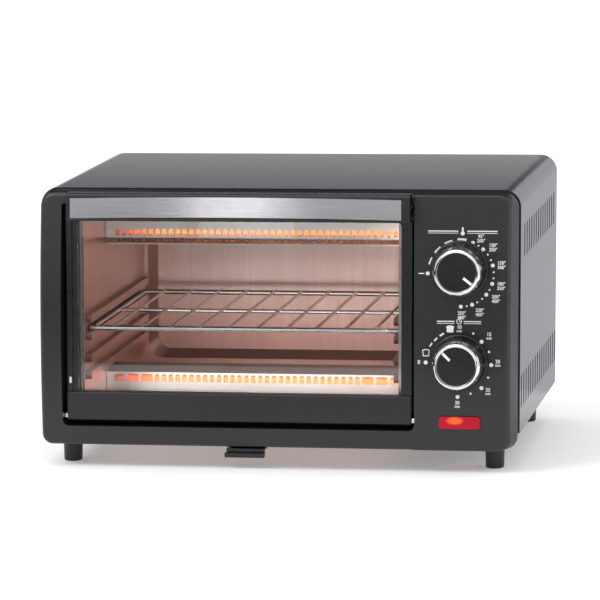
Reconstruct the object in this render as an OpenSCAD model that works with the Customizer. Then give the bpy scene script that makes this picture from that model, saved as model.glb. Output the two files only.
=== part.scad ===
// Counter-top toaster oven with a drop-down glass door, a slide-out rack,
// a hinged crumb tray and two rotary controls.
// Units are millimetres. +Z is up, the door faces -Y, +X is to the right as
// seen from the front. The origin is on the table, under the middle of the
// whole oven's bounding box.

/* [Body] */
// Width of the body over the front frame
body_w = 365; // [355:1:375]
// Height of the front frame, from its bottom edge to its top
body_h = 194.3; // [192:0.1:198]
// Depth of the sheet housing behind the front frame
housing_d = 226; // [222:1:234]
// Radius of the housing's two top corners
corner_r = 13; // [9:1:15]
// Thickness of the housing's sheet steel
sheet_t = 1; // [0.8:0.1:1.2]
// Clearance of the front frame's bottom edge above the table
foot_drop = 17; // [14:1:24]

/* [Front frame] */
// How far the front frame stands forward of the housing at its middle
frame_bulge = 21; // [20:0.5:22]
// Radius of the frame's gently bowed face, seen from the side
face_r = 760; // [720:10:1000]
// Radius of the rounded edge round the frame's face
edge_r = 4; // [3:0.5:5]
// Width of the control panel, from the door gap to the body's side
panel_w = 76.7; // [75:0.1:80]

/* [Door] */
// Gap between the door and the opening it closes
door_gap = 3; // [2:0.5:3.5]
// Width of the door's side members
stile_w = 8; // [6:0.5:9]
// Height of the plain panel under the glass
kick_h = 22; // [18:1:24]
// Thickness of the door glass
glass_t = 3.2; // [3:0.1:4]
// Height of the handle bar
handle_h = 20.7; // [19:0.1:22]
// How far the handle's face stands forward of the housing seam
handle_out = 31; // [28:0.5:33]
// Rise of the steel trim's arch at its middle
trim_arch = 1.3; // [0:0.1:2]

/* [Controls] */
// Height of the temperature knob's axis above the frame's bottom edge
temp_z = 138; // [134:0.1:140]
// Height of the timer knob's axis above the frame's bottom edge
timer_z = 67.9; // [64:0.1:70]
// Diameter of a knob at its base
knob_d = 43; // [40:0.5:44]
// Height of a knob from base to face
knob_h = 20; // [16:0.5:20]
// Number of ribs round a knob
knob_ribs = 60; // [36:2:72]
// Diameter of a knob's shaft
shaft_d = 6; // [5:0.5:6]

/* [Vents] */
// Slots in the upper row on each side
vents_up = 14; // [10:1:14]
// Slots in the lower row on each side
vents_low = 16; // [10:1:16]
// Distance from slot to slot
vent_pitch = 14; // [13.5:0.1:14]
// Width of a slot
vent_w = 4.4; // [3:0.1:6]
// Length of a slot
vent_l = 25.5; // [20:0.5:27]

/* [Inside] */
// Holes along each heater guard's row
guard_holes = 42; // [30:1:42]
// Cross wires in the rack
rack_wires = 10; // [8:1:12]
// Distance between the rack's cross wires
rack_pitch = 22.3; // [18:0.1:22.5]
// Height of the rack's wires above the frame's bottom edge
rack_z = 86.5; // [84:0.5:88]

/* [Hidden] */
hw = body_w / 2;
apex_z = 85;                        // where the frame's face stands furthest forward
y_front = face_y(timer_z) - 0.4 - knob_h; // face of the timer knob's ring
y_back = 232;                       // wall stand-offs on the rear panel
y_mid = (y_front + y_back) / 2;
panel_x = hw - panel_w;             // left edge of the control panel
open_x0 = -hw + 19.3;                 // door opening
open_x1 = panel_x;
open_z0 = 15;
open_z1 = body_h - 10.3;
door_x0 = open_x0 + door_gap + 0.1;
door_x1 = open_x1 - door_gap + 0.2;
door_xc = (door_x0 + door_x1) / 2;
door_z0 = 18.8;
door_z1 = open_z1 - 2;
hinge_y = -10;
hinge_z = 21.6;
win_x0 = door_x0 + stile_w;
win_x1 = door_x1 - stile_w;
win_z0 = door_z0 + kick_h;
win_z1 = 171;
cav_x0 = door_x0 + 10.1;            // cooking space
cav_x1 = door_x1 - 12;
cav_xc = (cav_x0 + cav_x1) / 2;
cav_z0 = 12.4;
cav_z1 = body_h - 21.3;
cav_y = housing_d - 14;
knob_x = hw - 42.5;
side_z = 11.4;                      // bottom edge of the housing
tray_y = 206;                       // crumb tray pivot
tray_z = 6.6;
heat_y = 93;                        // middle of the heaters
heat_lo = 32;
heat_hi = 149.6;
guard_y = 72;                       // front of the heater guards

// ---- helpers -------------------------------------------------------------

// Puts a piece drawn from the seam and the frame's bottom edge into the part's frame
module place() translate([0, -y_mid, foot_drop]) children();

// Extrudes a drawing of the X-Z plane from depth y0 back to y1
module slab(y0, y1) translate([0, y1, 0]) rotate([90, 0, 0]) linear_extrude(height = y1 - y0) children();

// Extrudes a drawing of the Y-Z plane from x0 to x1
module bar(x0, x1) translate([x0, 0, 0]) rotate([90, 0, 90]) linear_extrude(height = x1 - x0) children();

// Round rod along Y
module rod_y(x, z, y0, y1, r, fn = 48) translate([x, y1, z]) rotate([90, 0, 0]) cylinder(h = y1 - y0, r = r, $fn = fn);

// Round rod along X
module rod_x(y, z, x0, x1, r, fn = 48) translate([x0, y, z]) rotate([0, 90, 0]) cylinder(h = x1 - x0, r = r, $fn = fn);

// Box by its two corners
module box(a, b) translate(a) cube(b - a);

function arc(cx, cy, r, a0, a1, n) = [for (i = [0:n]) let (a = a0 + (a1 - a0) * i / n) [cx + r * cos(a), cy + r * sin(a)]];

// Rectangle with its four corners rounded: ra top right, rb top left, rc bottom left, rd bottom right
function rect4(x0, z0, x1, z1, ra, rb, rc, rd, n = 8) = concat(
  arc(x1 - ra, z1 - ra, ra, 0, 90, n), arc(x0 + rb, z1 - rb, rb, 90, 180, n),
  arc(x0 + rc, z0 + rc, rc, 180, 270, n), arc(x1 - rd, z0 + rd, rd, 270, 360, n));
function rrect(x0, z0, x1, z1, r, n = 8) = rect4(x0, z0, x1, z1, r, r, r, r, n);

// Forward reach of the frame's face at height z, and of the control panel, which is nearly flat above the middle
function face_y(z) = -frame_bulge + pow(z - apex_z, 2) / (2 * (z > apex_z ? 4000 : face_r));
function column_y(z) = -frame_bulge + pow(z - apex_z, 2) / (2 * face_r);

// Inward shift of a corner of radius r at distance d from the corner's end
function corner_in(d, r) = d >= r ? 0 : r - sqrt(r * r - pow(r - d, 2));

// Tube of radius r swept along points p, with n sides
function unit(v) = v / norm(v);
function tang(p, i) = unit(p[min(i + 1, len(p) - 1)] - p[max(i - 1, 0)]);
function side_of(t) = abs(t[0]) < 0.8 ? unit(cross(t, [1, 0, 0])) : unit(cross(t, [0, 1, 0.1]));
module sweep(p, r, n = 8) {
  m = len(p);
  pts = [for (i = [0:m - 1]) let (t = tang(p, i), u = side_of(t), w = cross(t, u))
         for (k = [0:n - 1]) p[i] + r * (cos(360 * k / n) * u + sin(360 * k / n) * w)];
  polyhedron(points = pts, faces = concat(
    [[for (k = [0:n - 1]) k]],
    [for (i = [0:m - 2], k = [0:n - 1]) [i * n + k, (i + 1) * n + k, (i + 1) * n + (k + 1) % n, i * n + (k + 1) % n]],
    [[for (k = [n - 1:-1:0]) (m - 1) * n + k]]), convexity = 6);
}
// Smooth curve through points, s steps to each span
function cr(a, b, c, d, t) = 0.5 * ((2 * b) + (c - a) * t + (2 * a - 5 * b + 4 * c - d) * t * t + (3 * b - a - 3 * c + d) * t * t * t);
function curve(q, s) = concat([for (i = [0:len(q) - 2], k = [0:s - 1])
  cr(q[max(i - 1, 0)], q[i], q[i + 1], q[min(i + 2, len(q) - 1)], k / s)], [q[len(q) - 1]]);

// ---- casing --------------------------------------------------------------

// One vent row: n slots from y0 back, z0 to z0 + length, through both sides
module vent_row(n, y0, z0) {
  for (i = [0:n - 1]) translate([0, y0 + i * vent_pitch, z0]) {
    box([-hw - 5, -vent_w / 2, vent_w / 2], [hw + 5, vent_w / 2, vent_l - vent_w / 2]);
    for (z = [vent_w / 2, vent_l - vent_w / 2]) rod_x(0, z, -hw - 5, hw + 5, vent_w / 2, 24);
  }
}

// Sheet steel wrap: both sides and the top in one piece, turned in at the bottom and rear
module outer_housing() place() color([0.27, 0.27, 0.29]) difference() {
  union() {
    slab(0.9, housing_d) polygon(concat(
      arc(hw - corner_r, body_h - corner_r, corner_r, 0, 90, 14), arc(-hw + corner_r, body_h - corner_r, corner_r, 90, 180, 14),
      [[-hw, side_z], [-hw + sheet_t, side_z]],
      arc(-hw + corner_r, body_h - corner_r, corner_r - sheet_t, 180, 90, 14), arc(hw - corner_r, body_h - corner_r, corner_r - sheet_t, 90, 0, 14),
      [[hw - sheet_t, side_z], [hw, side_z]]));
    for (s = [-1, 1]) box([s > 0 ? hw - 12 : -hw + sheet_t / 2, 2, side_z], [s > 0 ? hw - sheet_t / 2 : -hw + 12, housing_d - 1, side_z + sheet_t]);
    slab(housing_d - 3.2, housing_d - 2.2) difference() {
      polygon(rect4(-hw + 0.4, side_z + 0.3, hw - 0.4, body_h - 0.4, corner_r - 0.4, corner_r - 0.4, 0.5, 0.5, 14));
      polygon(rrect(-hw + 10, side_z + 9, hw - 10, body_h - 10, 6));
    }
  }
  vent_row(vents_up, 23.5, 141.3);
  vent_row(vents_low, 9.5, 29.3);
}

// Stations up an edge whose ends turn in: pairs of inward shift and height. cb and ct are the
// radii of the turns at the bottom and the top
function stations(zb, zt, cb, ct, n) = concat(
  [for (i = [0:4]) [cb * (1 - sin(22.5 * i)), zb + cb * (1 - cos(22.5 * i))]],
  [for (i = [1:n]) [0, zb + cb + (zt - ct - zb - cb) * i / (n + 1)]],
  [for (i = [4:-1:0]) [ct * (1 - sin(22.5 * i)), zt - ct * (1 - cos(22.5 * i))]]);

// Moulded front frame: left column, bottom rail, top rail and a raised control panel
module front_bezel() place() color([0.2, 0.2, 0.21]) difference() {
  union() {
    // bowed ring
    hull() {
      slab(-4, -0.2) polygon(rect4(-hw + 1.2, 0.4, hw - 1.2, body_h - 0.9, 12, 12, 8, 9, 10));
      for (p = stations(edge_r + 0.2, body_h - 1.9 - edge_r, 4, 6, 8)) {
        translate([-hw + 2.6 + edge_r + p[0], column_y(p[1]) + edge_r, p[1]]) sphere(r = edge_r, $fn = 28);
        translate([open_x1 + 8, column_y(p[1]) + edge_r + 0.3, p[1]]) sphere(r = edge_r, $fn = 20);
      }
    }
    // control panel: sharp along its top, softly rounded to the right, then flared back to the housing
    hull() {
      slab(-4, -0.2) polygon(rect4(open_x1 + 0.5, 0.4, hw - 1.2, body_h - 0.9, 12, 0.3, 0.3, 9, 10));
      for (p = stations(1.9, body_h - 1.7 - 1.6, 7, 4, 6)) {
        translate([open_x1 - 0.4, face_y(p[1]) + 1.6, p[1]]) sphere(r = 1.6, $fn = 20);
        for (a = [0, 30, 60, 90])
          translate([hw - 10.2 + 4.4 * sin(a) - p[0], face_y(p[1]) + 1.6 + 4.4 * (1 - cos(a)), p[1]]) sphere(r = 1.6, $fn = 20);
      }
    }
    // lip inside the housing, stepped up to it behind the seam
    slab(1.8, 5) difference() {
      polygon(rect4(-hw + sheet_t + 0.3, side_z + 1.6, hw - sheet_t - 0.3, body_h - sheet_t - 0.3, corner_r - 1.2, corner_r - 1.2, 1, 1, 10));
      polygon(rect4(-hw + sheet_t + 3.2, side_z + 3.6, hw - sheet_t - 3.2, body_h - sheet_t - 3.2, corner_r - 4.1, corner_r - 4.1, 1, 1, 10));
    }
    slab(-0.5, 5) difference() {
      polygon(rect4(-hw + sheet_t + 1.4, side_z + 1.6, hw - sheet_t - 1.4, body_h - sheet_t - 1.4, corner_r - 2.3, corner_r - 2.3, 1, 1, 10));
      polygon(rect4(-hw + sheet_t + 3.2, side_z + 3.6, hw - sheet_t - 3.2, body_h - sheet_t - 3.2, corner_r - 4.1, corner_r - 4.1, 1, 1, 10));
    }
  }
  // door opening and the recess for the handle's ends
  slab(-60, 20) polygon(rect4(open_x0, open_z0, open_x1, open_z1, 1, 1, 5, 5, 6));
  box([open_x0, -60, open_z1 - 4], [open_x1, -14.4, body_h + 5]);
  box([open_x1 - 4, -60, -1], [open_x1 - 0.01, column_y(open_z0 + 20) - 0.2, open_z0 + 30]);
  // the lip leaves room for the face of the cooking space
  box([open_x0 + 0.4, 0.02, side_z - 2], [open_x1 + 0.2, 8, side_z + 5]);
  // hollow behind the control panel, the column and the rails
  box([open_x1 + 3, -16, 6], [hw - 12.5, 10, body_h - 8]);
  box([open_x1 + 3, -6, 6], [hw - 4.4, 10, body_h - 8]);
  box([-hw + 5, -9, 8], [open_x0 - 3, 10, body_h - 11]);
  box([-hw + 12, -11, 3], [open_x1 + 4, 10, open_z0 - 2.5]);
  box([open_x0 + 2, -9, open_z1 + 2.5], [open_x1 - 2, 10, body_h - 4.5]);
  // pocket for the left hinge plate, pin and spring
  box([open_x0 - 13.5, -15.2, 8.2], [open_x0 - 3, -8, 48]);
  // shaft holes, indicator window and hinge pin holes
  for (z = [temp_z, timer_z]) rod_y(knob_x, z, -30, 5, shaft_d / 2 + 1.5, 36);
  slab(-30, 5) polygon(rrect(knob_x - 14.2, 18.6, knob_x + 14.2, 26, 1.5));
  slab(-40, face_y(22) + 0.66) polygon(rrect(knob_x - 15.6, 17.5, knob_x + 15.6, 27.1, 2.4));
  rod_x(hinge_y, hinge_z, open_x0 - 5, open_x0 + 1, 4.2, 36);
  rod_x(hinge_y, hinge_z, open_x1 - 1, open_x1 + 5, 4.2, 36);
}

// Rear cover with louvres, a pressed bump and two wall stand-offs
module rear_panel() place() color([0.16, 0.16, 0.17]) difference() {
  union() {
    slab(housing_d - 1.9, housing_d - 0.9) polygon(rect4(-hw + 1.4, side_z + 1.3, hw - 1.4, body_h - 1.4, corner_r - 1.4, corner_r - 1.4, 2, 2, 12));
    hull() {
      slab(housing_d - 1.2, housing_d - 1) polygon(rrect(cav_x0 + 6, 34, cav_x1 - 6, 164, 16));
      slab(housing_d + 2.4, housing_d + 2.6) polygon(rrect(cav_x0 + 12, 40, cav_x1 - 12, 158, 12));
    }
    for (x = [cav_x0 + 36, cav_x1 - 36]) rod_y(x, 132, housing_d, y_back, 7, 40);
  }
  // the bump is pressed from the sheet, so it is hollow behind
  hull() {
    slab(housing_d - 3, housing_d - 2.2) polygon(rrect(cav_x0 + 7, 35, cav_x1 - 7, 163, 15));
    slab(housing_d + 1.4, housing_d + 1.5) polygon(rrect(cav_x0 + 13, 41, cav_x1 - 13, 157, 11));
  }
  // louvres behind the controls
  for (k = [0:9]) box([cav_x1 + 18, housing_d - 5, 62 + 11 * k], [hw - 22, housing_d + 2, 65 + 11 * k]);
  rod_y(hw - 40, 34, housing_d - 5, housing_d + 3, 6.2, 40);
  for (p = rear_screw_spots()) rod_y(p[0], p[1], housing_d - 5, housing_d + 3, 1.7, 24);
}
function rear_screw_spots() = [for (z = [side_z + 5.5, body_h - 5.2], x = [-hw + 24, -58, 58, hw - 24]) [x, z]];

// Black bottom plate, cut out above the crumb tray
module base_panel() place() color([0.15, 0.15, 0.16]) difference() {
  box([-hw + 2.5, 2, side_z - 1], [hw - 2.5, housing_d - 4, side_z - 0.01]);
  box([cav_x0 + 10, 14, 0], [cav_x1 - 10, 196, 30]);
  for (p = foot_spots()) translate([p[0], p[1], 0]) cylinder(h = 30, r = 2.1, $fn = 24);
  for (k = [0:11]) box([cav_x1 + 22 + 5.5 * k, 70, 0], [cav_x1 + 25 + 5.5 * k, 120, 30]);
}
function foot_spots() = [for (x = [-hw + 20, hw - 20], y = [13, 207]) [x, y]];

// Bright sheet frame round the mouth of the cooking space
module front_face_frame() place() color([0.12, 0.12, 0.13]) difference() {
  slab(0.1, 1.1) polygon(rrect(open_x0 + 1, side_z + 0.3, open_x1 - 0.5, body_h - 12, 3));
  slab(-5, 5) polygon(rrect(cav_x0, cav_z0 + 12, cav_x1, cav_z1 - 2, 2));
}

module cavity_left_wall() place() color([0.64, 0.62, 0.62]) difference() {
  box([cav_x0 - 1, 1.2, side_z + 0.1], [cav_x0, cav_y - 0.1, cav_z1]);
  for (z = [heat_lo, heat_hi]) rod_x(heat_y, z, cav_x0 - 5, cav_x0 + 5, 6.6, 36);
}

module cavity_right_wall() place() color([0.64, 0.62, 0.62]) difference() {
  box([cav_x1, 1.2, side_z + 0.1], [cav_x1 + 1, cav_y - 0.1, cav_z1]);
  for (z = [heat_lo, heat_hi]) rod_x(heat_y, z, cav_x1 - 5, cav_x1 + 5, 6.6, 36);
}

module cavity_roof() place() color([0.64, 0.62, 0.62])
  box([cav_x0 - 1, 1.2, cav_z1 + 0.05], [cav_x1 + 1, cav_y - 0.1, cav_z1 + 1.05]);

// Back wall with a wide round-cornered pressing
module cavity_back() place() color([0.6, 0.57, 0.57]) difference() {
  union() {
    slab(cav_y, cav_y + 1) polygon(rrect(cav_x0 - 1, side_z + 0.1, cav_x1 + 1, cav_z1 + 1, 1));
    hull() {
      slab(cav_y + 0.2, cav_y + 0.9) polygon(rrect(cav_x0 + 1.5, 28, cav_x1 - 1.5, 160, 14));
      slab(cav_y + 7, cav_y + 8) polygon(rrect(cav_x0 + 8, 34.5, cav_x1 - 8, 154, 12));
    }
  }
  hull() {
    slab(cav_y - 1, cav_y) polygon(rrect(cav_x0 + 2.5, 29, cav_x1 - 2.5, 159, 13));
    slab(cav_y + 6.9, cav_y + 7) polygon(rrect(cav_x0 + 9.4, 36, cav_x1 - 9.4, 152.5, 11));
  }
}

// Pressed runners that carry the rack at two heights
module rack_guides() place() color([0.66, 0.64, 0.64]) for (s = [0, 1])
  for (z = [rack_z - 6.6, rack_z + 6.8, rack_z - 36.6, rack_z - 23.2])
    translate([0, 0, z]) bar(s ? cav_x1 - 4.5 : cav_x0 + 0.05, s ? cav_x1 - 0.05 : cav_x0 + 4.5)
      polygon(concat([[6, -3], [cav_y - 8, -3]], [[cav_y - 6, 0], [cav_y - 8, 3], [6, 3], [4, 0]]));

// ---- heaters ---------------------------------------------------------------

// Upper guard: a trough with two rows of round holes
module upper_heater_guard() place() color([0.72, 0.7, 0.7]) {
  p = (cav_x1 - cav_x0 - 18) / guard_holes;
  union() {
    translate([0, guard_y, 0]) slab(0, 0.8) difference() {
      polygon([[cav_x0 + 0.6, 146.6], [cav_x1 - 0.6, 146.6], [cav_x1 - 0.6, cav_z1 - 0.3], [cav_x0 + 0.6, cav_z1 - 0.3]]);
      for (i = [0:guard_holes - 1]) polygon(rrect(cav_x0 + 7.9 + p * i, 148, cav_x0 + 11.3 + p * i, 153.4, 1.69, 5));
    }
    translate([0, guard_y + 0.15, 147]) rotate([48, 0, 0]) translate([0, 0, -9]) slab(0, 0.8) difference() {
      polygon([[cav_x0 + 0.7, 0], [cav_x1 - 0.7, 0], [cav_x1 - 0.7, 9], [cav_x0 + 0.7, 9]]);
      for (i = [0:guard_holes - 1]) translate([cav_x0 + 9.6 + p * i, 4.6]) circle(r = 1.5, $fn = 16);
    }
    box([cav_x0 + 0.6, guard_y + 6, 140.7], [cav_x1 - 0.6, guard_y + 36, 141.5]);
    box([cav_x0 + 0.6, guard_y + 35.4, 140.7], [cav_x1 - 0.6, guard_y + 36.2, cav_z1 - 0.3]);
  }
}

// Lower guard: a ridged cover with a row of upright windows in its front and rear
module lower_heater_guard() place() color([0.72, 0.7, 0.7]) {
  n = guard_holes;
  p = (cav_x1 - cav_x0 - 13) / n;
  union() {
    for (s = [0, 1]) translate([0, guard_y + s * 40.2, 0]) slab(0, 0.8) difference() {
      polygon([[cav_x0 + 0.6, 26.6], [cav_x1 - 0.6, 26.6], [cav_x1 - 0.6, 41.2], [cav_x0 + 0.6, 41.2]]);
      for (i = [0:n - 1]) if (!(s == 0 && (i == 1 || i == 3 || i == 5 || i == n - 2 || i == n - 4)))
        let (wide = s == 0 && (i == 0 || i == 2 || i == 4 || i == n - 1 || i == n - 3 || i == n - 5))
        translate([cav_x0 + 6 + p * i - (wide && i > 10 ? p : 0), 0]) polygon([[0, 34], [wide ? 2 * p - 1.8 : p - 1.8, 34], [wide ? 2 * p - 1.8 : p - 1.8, 38.4], [wide ? 2 * p - 2.8 : p - 2.6, 39.8], [0.8, 39.8], [0, 38.4]]);
    }
    bar(cav_x0 + 0.6, cav_x1 - 0.6) polygon([[guard_y, 40.6], [guard_y + 18, 44.6], [guard_y + 23, 44.6], [guard_y + 41, 40.6],
      [guard_y + 41, 41.4], [guard_y + 23, 45.4], [guard_y + 18, 45.4], [guard_y, 41.4]]);
  }
}

module heater_tube(z) difference() {
  rod_x(heat_y, z, cav_x0 - 9, cav_x1 + 9, 4.8, 40);
  rod_x(heat_y, z, cav_x0 - 10, cav_x1 + 10, 3.8, 40);
}
module upper_heater_tube() place() color([0.95, 0.6, 0.4]) heater_tube(heat_hi);
module lower_heater_tube() place() color([0.95, 0.6, 0.4]) heater_tube(heat_lo);

// Heating wire inside the two tubes
module heater_coils() place() color([1, 0.5, 0.15])
  for (z = [heat_lo, heat_hi]) rod_x(heat_y, z, cav_x0 - 8, cav_x1 + 8, 2.9, 24);

module heater_end_caps() place() color([0.92, 0.9, 0.86]) for (z = [heat_lo, heat_hi], s = [-1, 1])
  translate([s > 0 ? cav_x1 : cav_x0, heat_y, z]) rotate([0, s * 90, 0]) difference() {
    union() {
      translate([0, 0, -4]) cylinder(h = 16, r = 6.4, $fn = 40);
      translate([0, 0, 1.1]) cylinder(h = 3, r = 8.6, $fn = 40);
    }
    translate([0, 0, -5]) cylinder(h = 14.2, r = 4.9, $fn = 40);
    cylinder(h = 30, r = 1.6, $fn = 24);
  }

module heater_terminals() place() color([0.75, 0.75, 0.76]) for (z = [heat_lo, heat_hi], s = [-1, 1])
  rod_x(heat_y, z, s > 0 ? cav_x1 + 8.1 : cav_x0 - 17, s > 0 ? cav_x1 + 17 : cav_x0 - 8.1, 1.4, 24);

// ---- controls --------------------------------------------------------------

// Steel plate behind the control panel that carries the thermostat and the timer
module control_bracket() place() color([0.7, 0.7, 0.71]) difference() {
  union() {
    slab(-4, -2.8) polygon(rrect(open_x1 + 4, 49, hw - 6, 170, 3));
    box([open_x1 + 3.6, -4, 52], [open_x1 + 4.8, 0.05, 160]);
    box([hw - 7, -4, 52], [hw - 5.8, 5.5, 160]);
  }
  for (z = [temp_z, timer_z]) rod_y(knob_x, z, -10, 10, 5.15, 40);
}

module thermostat() place() color([0.86, 0.84, 0.78]) difference() {
  union() {
    slab(-2.7, 3) polygon(rrect(knob_x - 16, temp_z - 16, knob_x + 16, temp_z + 16, 4));
    slab(2.9, 16) polygon(rrect(knob_x - 12, temp_z - 14, knob_x + 12, temp_z + 14, 3));
    for (s = [-1, 1]) box([knob_x + s * 9 - 3, 15.9, temp_z - 10], [knob_x + s * 9 + 3, 26, temp_z - 9]);
    for (s = [-1, 1]) box([knob_x + s * 9 - 3, 15.9, temp_z + 9], [knob_x + s * 9 + 3, 26, temp_z + 10]);
  }
  rod_y(knob_x, temp_z, -5, 12, shaft_d / 2 + 0.6, 40);
}
module bushing(z) difference() {
  rod_y(knob_x, z, -14, -2.8, 5, 40);
  rod_y(knob_x, z, -15, 0, shaft_d / 2 + 0.05, 48);
}
module thermostat_bushing() place() color([0.78, 0.66, 0.4]) bushing(temp_z);

module timer() place() color([0.72, 0.72, 0.74]) difference() {
  union() {
    slab(-2.7, 27) polygon(rrect(knob_x - 22, timer_z - 22, knob_x + 22, timer_z + 22, 5));
    for (s = [-1, 1]) box([knob_x + s * 12 - 3, 26.9, timer_z + 14], [knob_x + s * 12 + 3, 36, timer_z + 15]);
    rod_y(knob_x, timer_z - 4, 26.9, 32.9, 2, 24);
  }
  rod_y(knob_x, timer_z, -5, 14, shaft_d / 2 + 0.6, 40);
}
module timer_bushing() place() color([0.78, 0.66, 0.4]) bushing(timer_z);

// Domed bell struck when the time has run out
module timer_bell() place() color([0.8, 0.8, 0.8]) translate([knob_x, 38, timer_z - 4]) rotate([90, 0, 0]) difference() {
  rotate_extrude($fn = 48) polygon(concat(arc(0, -12, 17, 45, 90, 8), arc(0, -12, 16, 90, 45, 8)));
  translate([0, 0, -20]) cylinder(h = 19.7, r = 30, $fn = 32);
}

// Retaining nuts of the two controls
module control_nuts() place() color([0.8, 0.8, 0.8]) for (z = [temp_z, timer_z]) translate([knob_x, -4.1, z]) rotate([90, 0, 0]) difference() {
  cylinder(h = 3, r = 8, $fn = 6);
  translate([0, 0, -1]) cylinder(h = 6, r = 5.05, $fn = 40);
}

module indicator_lens() place() color([0.85, 0.05, 0.12]) union() {
  slab(face_y(22) - 1.5, face_y(22) + 0.6) polygon(rrect(knob_x - 15.4, 17.7, knob_x + 15.4, 26.9, 2.2));
  slab(face_y(22) + 0.5, -12.5) polygon(rrect(knob_x - 13.8, 19, knob_x + 13.8, 25.6, 1.4));
}

module indicator_lamp() place() color([1, 0.5, 0.2]) {
  rod_x(-9.6, 22.3, knob_x - 9, knob_x + 9, 2.4, 32);
  rod_x(-9.6, 22.3, knob_x + 9.05, knob_x + 15, 0.6, 16);
}

module terminal_block() place() color([0.9, 0.88, 0.82]) difference() {
  box([hw - 50, 190, side_z + 0.1], [hw - 22, 206, side_z + 13]);
  for (k = [0:2]) translate([hw - 43 + 7 * k, 198, side_z + 6]) cylinder(h = 10, r = 2, $fn = 24);
}

// Sleeved leads between the terminal block, the controls, the lamp and the heaters
module internal_wires() place() color([0.88, 0.86, 0.8]) {
  sweep(curve([[hw - 43, 189.7, 19], [hw - 45, 165, 22], [hw - 60, 110, 60], [knob_x - 9, 60, 112], [knob_x - 9, 27, temp_z - 9.5]], 7), 1.3);
  sweep(curve([[hw - 36, 189.7, 19], [hw - 34, 165, 22], [hw - 28, 120, 40], [hw - 30, 70, 70], [knob_x + 12, 37.2, timer_z + 14.5]], 7), 1.3);
  sweep(curve([[cav_x1 + 18.4, heat_y, heat_lo], [cav_x1 + 26, heat_y - 4, heat_lo + 2], [cav_x1 + 30, 70, 50], [knob_x - 12, 50, 78], [knob_x - 12, 37.2, timer_z + 14.5]], 7), 1.3);
  sweep(curve([[cav_x1 + 18.4, heat_y, heat_hi], [cav_x1 + 26, heat_y - 4, heat_hi], [cav_x1 + 34, 70, 152], [knob_x + 9, 44, 148], [knob_x + 9, 27, temp_z + 9.5]], 7), 1.3);
}

// Round black bush in the rear panel where the mains lead enters
module cord_gland() place() color([0.1, 0.1, 0.1]) translate([hw - 40, 0, 34]) difference() {
  union() {
    rod_y(0, 0, housing_d - 6, housing_d + 1, 6, 40);
    rod_y(0, 0, housing_d - 0.8, housing_d + 4, 9, 40);
    rod_y(0, 0, housing_d - 6, housing_d - 2.1, 8, 40);
  }
  rod_y(0, 0, housing_d - 10, housing_d + 6, 3.6, 40);
}

// ---- feet and fasteners ------------------------------------------------------

module feet() place() color([0.08, 0.08, 0.085]) for (p = foot_spots()) translate([p[0], p[1], -foot_drop]) difference() {
  rotate_extrude($fn = 64) polygon([[0, 0], [6.3, 0], [7, 0.8], [7.7, foot_drop + side_z - 1.01], [0, foot_drop + side_z - 1.01]]);
  translate([0, 0, -1]) cylinder(h = foot_drop - 1, r = 4.1, $fn = 32);
  cylinder(h = 60, r = 2.1, $fn = 24);
}

module foot_screws() place() color([0.7, 0.7, 0.72]) for (p = foot_spots()) translate([p[0], p[1], 0]) difference() {
  union() {
    translate([0, 0, -4.6]) cylinder(h = 2.5, r = 3.6, $fn = 32);
    translate([0, 0, -2.2]) cylinder(h = side_z + 7, r = 2, $fn = 32);
  }
  for (a = [0, 90]) rotate([0, 0, a]) box([-2.2, -0.4, -6], [2.2, 0.4, -3.4]);
}

module rear_screws() place() color([0.2, 0.2, 0.2]) for (p = rear_screw_spots()) translate([p[0], housing_d - 0.9, p[1]]) rotate([-90, 0, 0]) difference() {
  union() {
    rotate_extrude($fn = 32) polygon(concat([[0, 0.02], [3.4, 0.02], [3.4, 0.6]], arc(0, -2.9, 4.9, 46, 90, 5)));
    translate([0, 0, -1.1]) cylinder(h = 1.5, r = 1.6, $fn = 24);
  }
  for (a = [0, 90]) rotate([0, 0, a]) box([-1.9, -0.4, 1.2], [1.9, 0.4, 4]);
}

// ---- hinge hardware in the frame -----------------------------------------------

module hinge_plate(x0, x1) difference() {
  union() {
    bar(x0, x1) polygon([[-12.5, 8.6], [0.05, 8.6], [0.05, 46], [-5, 46], [-13.5, 30], [-13.5, 12]]);
  }
  rod_x(hinge_y, hinge_z, x0 - 1, x1 + 1, 2.06, 48);
}
module hinge_bracket_left() place() color([0.75, 0.75, 0.76]) hinge_plate(open_x0 - 6.2, open_x0 - 4.2);
module hinge_bracket_right() place() color([0.75, 0.75, 0.76]) hinge_plate(open_x1 + 4.9, open_x1 + 6.9);

// Coiled closing springs round the hinge pins, their ends bearing on the frame
module door_springs() place() color([0.6, 0.6, 0.62]) for (s = [-1, 1]) {
  x0 = s < 0 ? open_x0 - 12.2 : open_x1 + 7.5;
  difference() { rod_x(hinge_y, hinge_z, x0, x0 + 4.6, 4.6, 40); rod_x(hinge_y, hinge_z, x0 - 1, x0 + 6, 3.2, 40); }
  box([x0, hinge_y - 1.4 + 4.6, hinge_z], [x0 + 1.2, hinge_y + 4.6, hinge_z + 16]);
}

module tray_hinge_rod() place() color([0.7, 0.7, 0.72]) {
  rod_x(tray_y, tray_z, cav_x0 + 2, cav_x1 - 2, 1.8, 32);
  for (x = [cav_x0 + 2, cav_x1 - 4]) difference() {
    box([x, tray_y - 3.6, tray_z - 3.2], [x + 2, tray_y + 3.6, side_z - 1.02]);
    rod_x(tray_y, tray_z, x - 1, x + 3, 1.8, 32);
  }
}

// ---- door ------------------------------------------------------------------------

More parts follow.
